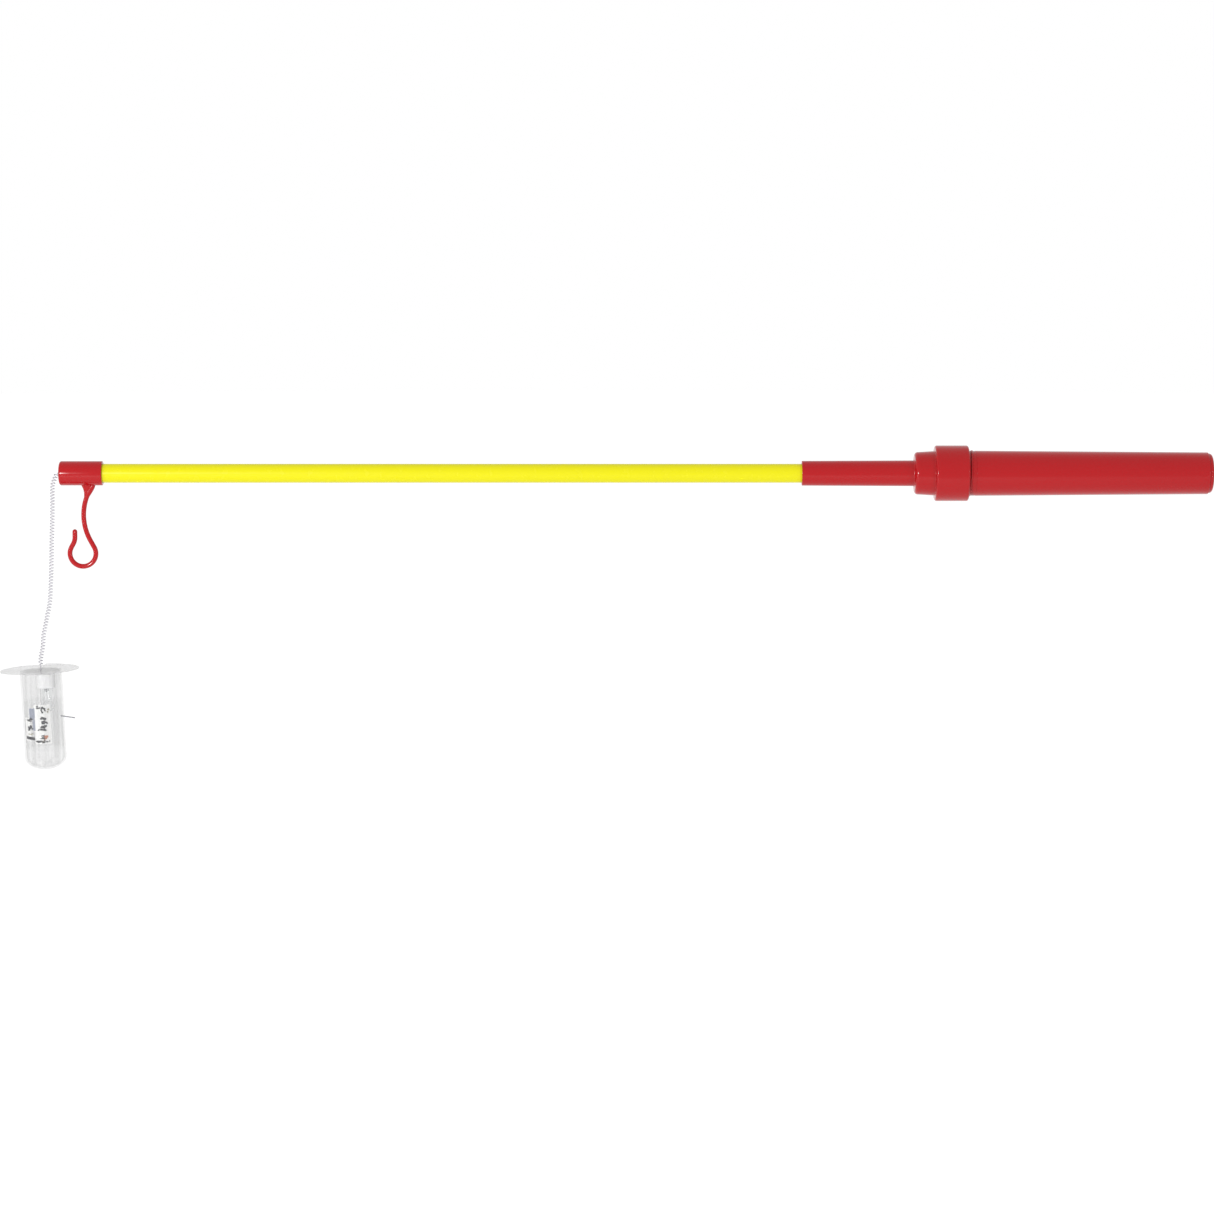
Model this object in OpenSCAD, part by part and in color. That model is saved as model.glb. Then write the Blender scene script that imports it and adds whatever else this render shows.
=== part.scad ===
// Electric lantern stick: a battery grip, a thin rod, a tip cap with a hook for the lantern's
// bail, and a small lamp that hangs from the tip on a curly lead. All sizes in millimetres.
// The origin is the middle of the hand grip. The stick lies along X with the grip at +X, and
// the hook and the lamp hang towards -Z.

/* [Grip] */
// Length of the grip from its shoulder to its end face
grip_len = 102.8; // [102:0.2:104]
// Diameter of the grip at its shoulder
grip_front_d = 19.6; // [19.4:0.1:19.8]
// Diameter of the grip at its closed end
grip_rear_d = 18.2; // [18:0.1:18.8]
// Bore for the cells
cell_bore_d = 15.1; // [15:0.1:15.2]
// Open gap between the collar and the grip's shoulder, with the lamp off
open_gap = 3; // [2.9:0.1:3.2]
// Length of the grip's threaded neck
neck_thread_len = 12.6; // [12.2:0.1:12.6]
// Crest diameter of the neck's thread
thread_d = 20.1; // [19.9:0.05:20.3]
// Pitch of the neck's thread
thread_pitch = 2.4; // [2.2:0.1:2.6]

/* [Head] */
// Diameter of the collar
collar_d = 24.2; // [24:0.1:24.8]
// Length of the collar
collar_len = 14.6; // [14.4:0.1:15]
// Diameter of the bowl in front of the collar
bowl_d = 18.9; // [18.6:0.1:19.4]
// Length of the bowl
bowl_len = 8.8; // [8.8:0.1:9.6]
// Diameter of the neck sleeve where the rod goes in
sleeve_front_d = 10.8; // [10.6:0.1:11]
// Diameter of the neck sleeve at the bowl
sleeve_rear_d = 11.2; // [11:0.1:11.6]
// Length of the neck sleeve
sleeve_len = 48.9; // [46:0.1:50]

/* [Rod] */
// Outer diameter of the rod
rod_d = 8.25; // [8.15:0.01:8.3]
// Bore of the rod
rod_bore_d = 6.2; // [5:0.1:6.6]
// Length of rod that shows between the sleeve and the tip cap
rod_shown = 303.6; // [280:0.1:320]

/* [Tip cap and hook] */
// Diameter of the tip cap
cap_d = 10.6; // [10.4:0.05:10.8]
// Length of the tip cap
cap_len = 18.7; // [18:0.1:19.5]
// Thickness of the hook's round rod
hook_rod_d = 2.15; // [1.9:0.05:2.4]
// Radius of the hook's loop, at the middle of its rod
loop_r = 5.65; // [5.4:0.05:5.9]
// Depth of the loop's centre below the stick's axis
loop_drop = 35; // [34.5:0.1:35.5]

/* [Lead] */
// Outer diameter of the curly lead
coil_d = 2.2; // [2:0.1:2.3]
// Diameter of the straight lead below the coil
tail_d = 0.6; // [0.5:0.05:0.7]

/* [Lamp] */
// Tilt of the hanging lamp, in degrees
lamp_tilt = 2.3; // [0:0.1:4]
// Diameter of the slit disc
disc_d = 34.6; // [32:0.1:36]
// Diameter of the clear cover at its mouth
cover_mouth_d = 18.4; // [18.2:0.1:18.6]
// Diameter of the clear cover above its dome
cover_foot_d = 18.1; // [17.9:0.1:18.2]
// Length of the clear cover, with its dome
cover_len = 43.7; // [43:0.1:44.5]
// Depth of the cover's dome
dome_depth = 5.6; // [5:0.1:6.2]
// Distance of the bulb from the cover's axis
bulb_dx = 2; // [1.8:0.1:2.2]

/* [Hidden] */
$fn = 96;

red = [0.80, 0.09, 0.13];
yellow = [0.98, 0.92, 0.10];
clear = [0.90, 0.92, 0.94, 0.35];
steel = [0.72, 0.73, 0.75];
brass = [0.80, 0.66, 0.34];
milky = [0.90, 0.90, 0.88];
black = [0.08, 0.08, 0.09];

gap = 0.05;                // between pieces that are pushed together
edge_r = 0.8;              // moulded outer corners of the head

// Stations along the stick's axis
grip_end_x = grip_len / 2;
shoulder_x = -grip_len / 2;
neck_front_x = shoulder_x - neck_thread_len;
collar_rear_x = shoulder_x - open_gap;
collar_front_x = collar_rear_x - collar_len;
bowl_front_x = collar_front_x - bowl_len;
sleeve_front_x = bowl_front_x - sleeve_len;
cap_rear_x = sleeve_front_x - rod_shown;
cap_front_x = cap_rear_x - cap_len;

// Grip
cell_bore_r = cell_bore_d / 2;
neck_root_r = 9.55;
ridge_half = 0.5;          // half width of a thread ridge at its root
ridge_first = 1.1;         // from the shoulder to the first ridge
ridge_count = floor((neck_thread_len - ridge_first - ridge_half - 0.1) / thread_pitch) + 1;
end_cap_r = 8.6;
end_cap_lip = 1.8;         // how far the end cap stands out of the tube
end_cap_edge = 1.3;
spigot_len = 5;
tube_end_x = grip_end_x - end_cap_lip;
spigot_x = tube_end_x - spigot_len;
plate_t = 0.4;
plate_x = spigot_x - plate_t;
plate_r = 6.9;
groove_w = 4;
groove_r = 7.9;            // how deep the strip's groove reaches into the wall
strip_w = 3.8;
strip_t = 0.25;
strip_r = cell_bore_r;     // the strip's inner face, level with the bore
strip_tab = 1.3;           // how far the strip folds out over the neck's front face

// Cells
spring_len = 8;
spring_wire_r = 0.35;
spring_turns = 5;
cell_len = 50.2;
cell_r = 7.1;
cell_wall = 0.25;
nub_len = 1.5;
nub_r = 2.75;
nub_flange_r = 5.6;
nub_flange_t = 0.4;
sleeve_t = 0.12;
rear_cell_x = plate_x - spring_len - cell_len;   // tip of the rear cell's nub
front_cell_x = rear_cell_x - cell_len;           // tip of the front cell's nub

// Head
collar_bore_r = 10.3;
collar_floor_x = collar_front_x + 1.5;
bowl_bore_r = 7.75;
bowl_edge_r = 1.5;
bowl_flare = 0.2;          // the bowl widens this far each side of its middle
bowl_floor_x = bowl_front_x + 1.5;
passage_r = 3.1;
rod_r = rod_d / 2;
rod_socket_r = rod_r + gap;
rod_rear_x = bowl_front_x - 6.6;
ring_t = 0.4;
ring_outer_r = 10.1;
ring_inner_r = 6.5;
ring_x = collar_floor_x + ring_t;                // the face that the strip's tab meets
ring_tail_w = 1.5;
ring_tail_t = 0.3;
ring_tail_r = 7.1;
carrier_rear_x = bowl_floor_x + 1.2;
carrier_boss_r = 4.5;
rivet_head_r = 3.4;
rivet_head_t = 0.8;
rivet_shank_r = 0.8;
rivet_tail_x = carrier_rear_x - 0.3;

// Leads in the rod
lead_r = 0.5;
lead_z = 0.6;

// Tip cap
cap_r = cap_d / 2;
cap_edge_r = 0.9;
cap_bore_end_x = cap_front_x + 5.2;
gland_x = cap_front_x + 1.7;
gland_r = 3;
gland_mouth_r = 1.85;
cord_hole_r = coil_d / 2 + 0.1;
rod_front_x = cap_bore_end_x + 0.1;
gland_rear_x = cap_bore_end_x + gap;

// Hook: an arc that falls from the cap, a straight, the loop, and a tip that turns upright
hook_r = hook_rod_d / 2;
loop_x = cap_front_x + 9.5;
fall_r = 23.1;
fall_x = cap_front_x + 33.2;
fall_z = -18.4;
fall_top = 135;            // angle on the falling arc where it starts, within the cap
tip_turn = 29;
tip_r = 6;
tip_run = 1.7;
tip_rise = 2.4;
knuckle_r = hook_r + 0.03; // balls that join the hook's curves to its straights
web_x = cap_front_x + 12.3;
web_half = 3.1;
web_t = 1.8;
web_top = -4.6;
web_brow = -5.25;          // where the web's hollow curves begin, just below the cap
web_low = -13.5;
web_inset = 0.8;           // the web's sides run this far from the middle of the hook's rod

// Lead's route from the gland to the lamp, in the plane of the hook: X from the cap's front, and Z
cord_route = [
    [0, 0], [-1.2, -0.5], [-1.9, -1.5], [-2.4, -2.8], [-3.1, -4.8], [-3.3, -7.7],
    [-3.4, -14], [-3.6, -21], [-4, -30], [-4.3, -39], [-4.7, -48], [-5, -53],
    [-5.6, -58], [-6.7, -63], [-7.7, -68], [-8.4, -71.3], [-8.8, -76.4],
    [-9.7, -80.8], [-9.9, -85]
];
cord_sides = 8;

// Lamp, in its own frame: the origin is on the cover's axis at the middle of the slit disc
lamp_x = cap_front_x - 9.9;
lamp_z = -86;
disc_dx = -0.5;            // the disc hangs a little off the cover's axis
disc_top = 0.4;
disc_under = -0.25;
disc_boss_r = 9.4;
disc_boss = -0.4;
disc_hole_r = 0.6;
slit_w = 0.3;
knot_z = -1.32;
knot_r = 0.8;
tail_top = 1;
knot_room_r = 1.5;
knot_room_z = -2.2;
holder_flange_t = 0.9;
holder_r = 3.9;
holder_len = 8;
holder_roof_z = -2.6;
socket_r = 3;
socket_wall = 0.2;
socket_top_z = -3.9;
socket_low_z = -7;
wire_r = 0.15;
button_r = 1.3;
button_z = -3.2;
button_t = 0.25;
contact_wire_r = 0.1;
contact_turns = 2.5;
tip_z = button_z - button_t;
tip_t = 0.3;
insulator_t = 0.3;
shell_z = tip_z - tip_t - insulator_t;
shell_low_z = -7.4;
shell_root_r = 2.5;
shell_crest_r = 2.7;
shell_wall = 0.2;
shell_pitch = 1;
shell_ridges = 3;
glass_r = 2.9;
glass_wall = 0.3;
glass_end_z = -19;
glass_neck_r = 2.2;
bead_z = -8.9;
bead_r = 1.1;
bead_flat_r = 0.8;
filament_z = -13.2;
post_dx = 1.1;
post_r = 0.12;
filament_r = 0.14;
cover_top_z = -0.45;
cover_low_z = cover_top_z - cover_len;
cover_wall = 0.8;
holder_flange_r = cover_mouth_d / 2 - cover_wall - 0.1;
liner_r = cover_foot_d / 2 - cover_wall - 0.1;
liner_t = 0.2;
liner_top_z = -13.3;
liner_low_z = -35;
pin_r = 0.25;
pin_hole_r = 0.3;
pin_x = 7.4;
pin_z = -20.75;
pin_len = 6.5;
pin_fall = 10.6;           // slope of the pin, in degrees

// ---- helpers -------------------------------------------------------------------------------

// Points of an arc about (x, y) from angle a0 to a1
function arc(x, y, r, a0, a1, n = 6) =
    [for (i = [0:n]) let (a = a0 + (a1 - a0) * i / n) [x + r * cos(a), y + r * sin(a)]];

function reversed(list) = [for (i = [len(list) - 1:-1:0]) list[i]];

// A solid of revolution about the stick's axis, from an outline of [radius, x] points
module turned(outline) rotate([0, 90, 0]) rotate_extrude() polygon(outline);

// A plain ring or tube about the stick's axis
module tube_x(x0, x1, outer, inner = 0)
    turned([[inner, x0], [outer, x0], [outer, x1], [inner, x1]]);

module rod_x(x0, x1, r, z = 0) translate([x0, 0, z]) rotate([0, 90, 0]) cylinder(r = r, h = x1 - x0);

// The lamp's own frame
module in_lamp() translate([lamp_x, 0, lamp_z]) rotate([0, -lamp_tilt, 0]) children();
module at_bulb() in_lamp() translate([bulb_dx, 0, 0]) children();

// A solid of revolution about the frame's Z axis, from an outline of [radius, z] points
module spun(outline) rotate_extrude() polygon(outline);
module ring_z(z0, z1, outer, inner = 0) spun([[inner, z0], [outer, z0], [outer, z1], [inner, z1]]);

// The outline of a ridge on a cylinder whose axis is the outline's second coordinate
function ridge(root, crest, at, half) =
    [[root - gap, at - half], [root, at - half], [crest, at - half / 2],
     [crest, at + half / 2], [root, at + half], [root - gap, at + half]];

// A closed tube of given radius swept through points, each with its two cross directions
function ring_at(p, u, v, r, n) =
    [for (k = [0:n - 1]) let (a = 360 * k / n) p + r * (cos(a) * u + sin(a) * v)];
function tube_faces(rings, n) = concat(
    [[for (k = [0:n - 1]) k]],
    [for (i = [0:rings - 2], k = [0:n - 1]) let (m = (k + 1) % n)
        [i * n + k, (i + 1) * n + k, (i + 1) * n + m, i * n + m]],
    [[for (k = [n - 1:-1:0]) (rings - 1) * n + k]]);

// A round wire coiled about the X axis from x0 to x1, with its radius going from r0 to r1
module coil_x(x0, x1, r0, r1, turns, wire_r, steps = 14, sides = 8) {
    count = ceil(turns * steps);
    points = [for (i = [0:count])
        let (t = i / count, a = 360 * turns * t, r = r0 + (r1 - r0) * t,
             out = [0, cos(a), sin(a)])
        ring_at([x0 + (x1 - x0) * t, 0, 0] + r * out, out, [1, 0, 0], wire_r, sides)];
    polyhedron(points = [for (ring = points) for (p = ring) p],
               faces = [for (f = tube_faces(count + 1, sides)) reversed(f)]);
}

// ---- grip ----------------------------------------------------------------------------------

module grip_tube() color(red) difference() {
    union() {
        turned(concat(
            [[cell_bore_r, neck_front_x]],
            [[neck_root_r - 0.3, neck_front_x], [neck_root_r, neck_front_x + 0.3]],
            [[neck_root_r, shoulder_x]],
            arc(grip_front_d / 2 - 0.15, shoulder_x + 0.15, 0.15, -90, 0, 3),
            [[grip_rear_d / 2, tube_end_x - 0.3], [grip_rear_d / 2 - 0.3, tube_end_x]],
            [[cell_bore_r, tube_end_x]]));
        for (i = [0:ridge_count - 1])
            turned(ridge(neck_root_r, thread_d / 2, shoulder_x - ridge_first - i * thread_pitch,
                         ridge_half));
    }
    translate([neck_front_x - 1, -groove_w / 2, -groove_r])
        cube([tube_end_x - neck_front_x + 2, groove_w, 1]);
}

module grip_end_cap() color(red)
    turned(concat(
        [[0, spigot_x], [cell_bore_r - gap - 0.3, spigot_x], [cell_bore_r - gap, spigot_x + 0.3]],
        [[cell_bore_r - gap, tube_end_x], [end_cap_r, tube_end_x]],
        arc(end_cap_r - end_cap_edge, grip_end_x - end_cap_edge, end_cap_edge, 0, 90),
        [[0, grip_end_x]]));

module spring_plate() color(steel) {
    tube_x(plate_x, spigot_x, plate_r);
    translate([plate_x, -strip_w / 2, -strip_r]) cube([plate_t, strip_w, strip_r - plate_r + 1]);
}

module battery_spring() color(steel)
    coil_x(plate_x - spring_len + spring_wire_r, plate_x - spring_wire_r, 3.8, 5.6,
           spring_turns, spring_wire_r);

module contact_strip() color(steel) {
    translate([neck_front_x, -strip_w / 2, -strip_r - strip_t])
        cube([spigot_x - neck_front_x, strip_w, strip_t]);
    translate([neck_front_x - strip_t, -strip_w / 2, -strip_r - strip_t - strip_tab])
        cube([strip_t, strip_w, strip_t + strip_tab]);
}

// ---- cells, each from the tip of its nub at x ------------------------------------------------

module cell_can(x) color(steel)
    turned([[cell_r - 1.2, x + nub_len], [cell_r, x + nub_len], [cell_r, x + cell_len],
            [0, x + cell_len], [0, x + cell_len - cell_wall],
            [cell_r - cell_wall, x + cell_len - cell_wall],
            [cell_r - cell_wall, x + nub_len + cell_wall], [cell_r - 1.2, x + nub_len + cell_wall]]);

module cell_core(x) color(black)
    tube_x(x + nub_len + cell_wall + nub_flange_t + 2 * gap, x + cell_len - cell_wall - gap,
           cell_r - cell_wall - gap);

module cell_terminal(x) color(steel) {
    tube_x(x, x + nub_len + cell_wall + 2 * gap, nub_r);
    tube_x(x + nub_len + cell_wall + gap, x + nub_len + cell_wall + gap + nub_flange_t, nub_flange_r);
}

module cell_sleeve(x) color("darkgreen")
    tube_x(x + nub_len + 0.4, x + cell_len - 0.4, cell_r + 0.02 + sleeve_t, cell_r + 0.02);

module front_cell_can() cell_can(front_cell_x);
module front_cell_core() cell_core(front_cell_x);
module front_cell_terminal() cell_terminal(front_cell_x);
module front_cell_sleeve() cell_sleeve(front_cell_x);
module rear_cell_can() cell_can(rear_cell_x);
module rear_cell_core() cell_core(rear_cell_x);
module rear_cell_terminal() cell_terminal(rear_cell_x);
module rear_cell_sleeve() cell_sleeve(rear_cell_x);

// ---- head and rod ----------------------------------------------------------------------------

module handle_head() color(red)
    turned(concat(
        [[rod_socket_r, sleeve_front_x]],
        arc(sleeve_front_d / 2 - 0.2, sleeve_front_x + 0.2, 0.2, -90, 0, 3),
        arc(sleeve_rear_d / 2 + 0.6, bowl_front_x - 0.6, 0.6, 180, 90, 4),
        arc(bowl_d / 2 - bowl_flare - bowl_edge_r, bowl_front_x + bowl_edge_r, bowl_edge_r, -90, 0),
        [[bowl_d / 2 + bowl_flare, collar_front_x]],
        arc(collar_d / 2 - edge_r, collar_front_x + edge_r, edge_r, -90, 0),
        arc(collar_d / 2 - edge_r, collar_rear_x - edge_r, edge_r, 0, 90),
        [[collar_bore_r + 0.3, collar_rear_x], [collar_bore_r, collar_rear_x - 0.3]],
        [[collar_bore_r, collar_floor_x], [bowl_bore_r, collar_floor_x]],
        [[bowl_bore_r, bowl_floor_x], [passage_r, bowl_floor_x]],
        [[passage_r, rod_rear_x], [rod_socket_r, rod_rear_x]]));

module contact_carrier() color(milky) difference() {
    union() {
        tube_x(carrier_rear_x, collar_floor_x, bowl_bore_r - gap);
        tube_x(collar_floor_x, front_cell_x - rivet_head_t, carrier_boss_r);
    }
    rod_x(carrier_rear_x - 1, front_cell_x, rivet_shank_r + gap);
    translate([carrier_rear_x - 1, -ring_tail_w / 2 - 0.1, ring_tail_r - ring_tail_t - 0.2])
        cube([collar_floor_x - carrier_rear_x + 2, ring_tail_w + 0.2, 2]);
}

module centre_contact() color(brass) {
    tube_x(front_cell_x - rivet_head_t, front_cell_x, rivet_head_r);
    tube_x(rivet_tail_x, front_cell_x - rivet_head_t + gap, rivet_shank_r);
}

module ring_contact() color(steel) {
    tube_x(collar_floor_x, ring_x, ring_outer_r, ring_inner_r);
    translate([rivet_tail_x - 0.7, -ring_tail_w / 2, ring_tail_r - ring_tail_t])
        cube([collar_floor_x - rivet_tail_x + 0.7 + gap, ring_tail_w, ring_tail_t]);
    translate([rivet_tail_x - 0.7, -ring_tail_w / 2, lead_z - lead_r])
        cube([ring_tail_t, ring_tail_w, ring_tail_r - lead_z + lead_r]);
}

module positive_lead() color("firebrick") rod_x(gland_rear_x, rivet_tail_x, lead_r, -lead_z);
module negative_lead() color("dimgray") rod_x(gland_rear_x, rivet_tail_x - 0.7, lead_r, lead_z);

module rod_tube() color(yellow) tube_x(rod_front_x, rod_rear_x - gap, rod_r, rod_bore_d / 2);

// ---- tip cap and hook ------------------------------------------------------------------------

// Angle on the falling arc, below level, where the straight to the loop leaves it
function fall_end() =
    let (dx = loop_x - fall_x, dz = -loop_drop - fall_z, d = norm([dx, dz]))
    atan2(dz, dx) - 180 - acos((fall_r + loop_r) / d);

module bent_rod(x, z, r, a0, a1)
    translate([x, 0, z]) rotate([90, 0, 0]) rotate([0, 0, a0])
        rotate_extrude(angle = a1 - a0) translate([r, 0]) circle(r = hook_r);

// A straight piece of the hook's rod, heading at an angle from +X towards +Z
module straight_rod(x, z, heading, len)
    translate([x, 0, z]) rotate([0, 90 - heading, 0]) cylinder(r = hook_r, h = len);

module knuckle(x, z) translate([x, 0, z]) sphere(r = knuckle_r);

module hook() {
    leave = 360 + fall_end();
    run_x = fall_x + fall_r * cos(180 + leave);
    run_z = fall_z + fall_r * sin(180 + leave);
    run_len = norm([loop_x + loop_r * cos(leave) - run_x, -loop_drop + loop_r * sin(leave) - run_z]);
    loop_end = -180 - tip_turn;
    tip_x0 = loop_x + loop_r * cos(loop_end);
    tip_z0 = -loop_drop + loop_r * sin(loop_end);
    tip_x1 = tip_x0 + tip_run * sin(tip_turn);
    tip_z1 = tip_z0 + tip_run * cos(tip_turn);
    turn_x = tip_x1 - tip_r * cos(tip_turn);
    turn_z = tip_z1 + tip_r * sin(tip_turn);
    bent_rod(fall_x, fall_z, fall_r, fall_top, 180 + leave);
    straight_rod(run_x, run_z, leave - 90, run_len);
    bent_rod(loop_x, -loop_drop, loop_r, loop_end, leave);
    straight_rod(tip_x0, tip_z0, 90 - tip_turn, tip_run);
    bent_rod(turn_x, turn_z, tip_r, -tip_turn, 0);
    knuckle(run_x, run_z);
    knuckle(loop_x + loop_r * cos(leave), -loop_drop + loop_r * sin(leave));
    knuckle(tip_x0, tip_z0);
    knuckle(tip_x1, tip_z1);
    knuckle(turn_x + tip_r, turn_z);
    straight_rod(turn_x + tip_r, turn_z, 90, tip_rise);
    translate([turn_x + tip_r, 0, turn_z + tip_rise]) sphere(r = hook_r);
}

// Middle of the hook's rod at a height on its falling arc
function fall_at(z) = fall_x - sqrt(fall_r * fall_r - (z - fall_z) * (z - fall_z));

// One side of the web: a hollow curve from the cap at x down into the rod
function web_side(x, inset) =
    [for (i = [0:8]) let (t = i / 8, h = (1 - t) * (1 - t), z = web_brow + (web_low - web_brow) * t)
        [x * h + (fall_at(z) + inset) * (1 - h), z]];

// The web that spreads the hook's root along the cap
module web() rotate([90, 0, 0]) linear_extrude(web_t, center = true)
    polygon(concat(
        [[web_x - web_half, web_top]],
        web_side(web_x - web_half, -web_inset),
        reversed(web_side(web_x + web_half, web_inset)),
        [[web_x + web_half, web_top]]));

module tip_cap() color(red) difference() {
    union() {
        turned(concat(
            [[0, cap_front_x]],
            arc(cap_r - cap_edge_r, cap_front_x + cap_edge_r, cap_edge_r, -90, 0),
            arc(cap_r - 0.25, cap_rear_x - 0.25, 0.25, 0, 90, 3),
            [[0, cap_rear_x]]));
        web();
        hook();
    }
    rod_x(cap_bore_end_x, cap_rear_x + 1, rod_socket_r);
    rod_x(gland_x, cap_bore_end_x + 1, gland_r + gap);
    rod_x(cap_front_x - 1, gland_x + 1, gland_mouth_r + gap);
}

module cord_gland() color(milky)
    turned([[cord_hole_r, cap_front_x], [gland_mouth_r, cap_front_x], [gland_mouth_r, gland_x + gap],
            [gland_r, gland_x + gap], [gland_r, gland_rear_x], [cord_hole_r, gland_rear_x]]);

module cord_root() color(clear) rod_x(cap_front_x, gland_rear_x, coil_d / 2);

// ---- curly lead ------------------------------------------------------------------------------

module curly_cord() color(clear) {
    last = len(cord_route) - 1;
    rings = [for (i = [0:last])
        let (a = i == 0 ? [-1, 0] : cord_route[i] - cord_route[i - 1],
             b = i == last ? [sin(lamp_tilt), -cos(lamp_tilt)] : cord_route[i + 1] - cord_route[i],
             way = i == 0 ? [-1, 0] : i == last ? b : a / norm(a) + b / norm(b),
             t = way / norm(way))
        ring_at([cap_front_x + cord_route[i][0], 0, cord_route[i][1]], [t[1], 0, -t[0]], [0, 1, 0],
                coil_d / 2, cord_sides)];
    polyhedron(points = [for (ring = rings) for (p = ring) p],
               faces = tube_faces(last + 1, cord_sides));
}

module cord_knot() color(clear) in_lamp() {
    translate([0, 0, knot_z]) cylinder(r = tail_d / 2, h = tail_top - knot_z);
    translate([0, 0, knot_z]) sphere(r = knot_r);
}

// ---- lamp ------------------------------------------------------------------------------------

module slit_disc() color(clear) in_lamp() difference() {
    union() {
        translate([disc_dx, 0, disc_under]) cylinder(d = disc_d, h = disc_top - disc_under);
        translate([0, 0, disc_boss]) cylinder(r = disc_boss_r, h = disc_under - disc_boss + 0.01);
    }
    translate([0, 0, disc_boss - 1]) cylinder(r = disc_hole_r, h = 3);
    translate([-slit_w / 2, 0, disc_boss - 1]) cube([slit_w, disc_d, 3]);
}

module bulb_holder() color(clear) in_lamp() difference() {
    union() {
        ring_z(disc_boss - holder_flange_t, disc_boss, holder_flange_r);
        translate([bulb_dx, 0, 0]) ring_z(-holder_len, disc_boss, holder_r);
    }
    translate([0, 0, knot_room_z]) cylinder(r = knot_room_r, h = 5);
    translate([bulb_dx, 0, -holder_len - 1])
        cylinder(r = socket_r + 0.02, h = holder_len + 1 + holder_roof_z);
    translate([bulb_dx - button_r / 2, 0, holder_roof_z - 1]) cylinder(r = wire_r + 0.02, h = 2);
    translate([bulb_dx - socket_r + socket_wall / 2, 0, holder_roof_z - 1])
        cylinder(r = wire_r + 0.02, h = 2);
}

module socket_shell() color(steel) at_bulb()
    ring_z(socket_low_z, socket_top_z, socket_r, socket_r - socket_wall);

module socket_leads() color(steel) in_lamp() {
    translate([bulb_dx - button_r / 2, 0, holder_roof_z])
        cylinder(r = wire_r, h = knot_room_z - holder_roof_z);
    translate([bulb_dx - socket_r + socket_wall / 2, 0, socket_top_z])
        cylinder(r = wire_r, h = knot_room_z - socket_top_z);
}

module contact_button() color(steel) at_bulb() ring_z(tip_z, button_z, button_r);

module contact_spring() color(steel) at_bulb() rotate([0, -90, 0])
    coil_x(button_z + contact_wire_r, holder_roof_z - contact_wire_r, 0.9, 0.9, contact_turns,
           contact_wire_r);

// ---- bulb ------------------------------------------------------------------------------------

module bulb_shell() color(steel) at_bulb() {
    ring_z(shell_low_z, shell_z, shell_root_r, shell_root_r - shell_wall);
    ring_z(shell_z - shell_wall, shell_z, shell_root_r - shell_wall + 0.01, 1.6);
    for (i = [0:shell_ridges - 1])
        spun(ridge(shell_root_r, shell_crest_r, shell_z - 0.7 - i * shell_pitch, 0.35));
}

module bulb_insulator() color(black) at_bulb()
    ring_z(shell_z, shell_z + insulator_t, 1.9);

module bulb_tip() color(steel) at_bulb() ring_z(shell_z + insulator_t, tip_z, 1);

module bulb_glass() color(clear) at_bulb()
    spun(concat(
        [[glass_neck_r - glass_wall, shell_low_z + 1.2], [glass_neck_r, shell_low_z + 1.2]],
        [[glass_neck_r, shell_low_z - 0.02], [glass_r - 0.2, shell_low_z - 0.1]],
        [[glass_r, shell_low_z - 0.5]],
        arc(0, glass_end_z + glass_r, glass_r, 0, -90, 10),
        arc(0, glass_end_z + glass_r, glass_r - glass_wall, -90, 0, 10),
        [[glass_r - glass_wall, shell_low_z - 0.7], [glass_neck_r - glass_wall, shell_low_z - 0.3]]));

module bulb_bead() color("slategray") at_bulb() difference() {
    spun([[0, bead_z - bead_r], [bead_flat_r, bead_z - bead_r], [bead_r, bead_z - bead_r / 2],
          [bead_r, bead_z + bead_r / 2], [bead_flat_r, bead_z + bead_r], [0, bead_z + bead_r]]);
    for (side = [-1, 1])
        translate([side * post_dx / 2, 0, bead_z - 2]) cylinder(r = post_r + 0.02, h = 4);
}

module filament_posts() color(steel) at_bulb() for (side = [-1, 1])
    translate([side * post_dx / 2, 0, filament_z]) cylinder(r = post_r, h = shell_low_z + 1 - filament_z);

module filament() color("silver") at_bulb()
    translate([-post_dx / 2, 0, filament_z - filament_r]) rotate([0, 90, 0])
        cylinder(r = filament_r, h = post_dx);

// ---- cover -----------------------------------------------------------------------------------

// Outline of a rounded dome of given mouth radius and depth that hangs from z, from rim to pole
function dome(r, depth, z, n = 14) =
    [for (i = [0:n]) let (a = 90 * i / n) [i == n ? 0 : r * cos(a), z - depth * sin(a)]];

module pin_line() translate([pin_x, 0, pin_z]) rotate([0, 90 + pin_fall, 0]) children();

module lamp_cover() color(clear) in_lamp() difference() {
    rim_z = cover_low_z + dome_depth;
    spun(concat(
        [[cover_mouth_d / 2 - cover_wall, cover_top_z], [cover_mouth_d / 2, cover_top_z]],
        dome(cover_foot_d / 2, dome_depth, rim_z),
        reversed(dome(cover_foot_d / 2 - cover_wall, dome_depth - cover_wall, rim_z))));
    pin_line() cylinder(r = pin_hole_r, h = 3);
}

module label_liner() color([0.95, 0.95, 0.95, 0.5]) in_lamp() difference() {
    ring_z(liner_low_z, liner_top_z, liner_r, liner_r - liner_t);
    pin_line() cylinder(r = pin_hole_r, h = 3);
}

module lock_pin() color(steel) in_lamp() pin_line() cylinder(r = pin_r, h = pin_len, $fn = 24);

// ---- assembly --------------------------------------------------------------------------------

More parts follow.
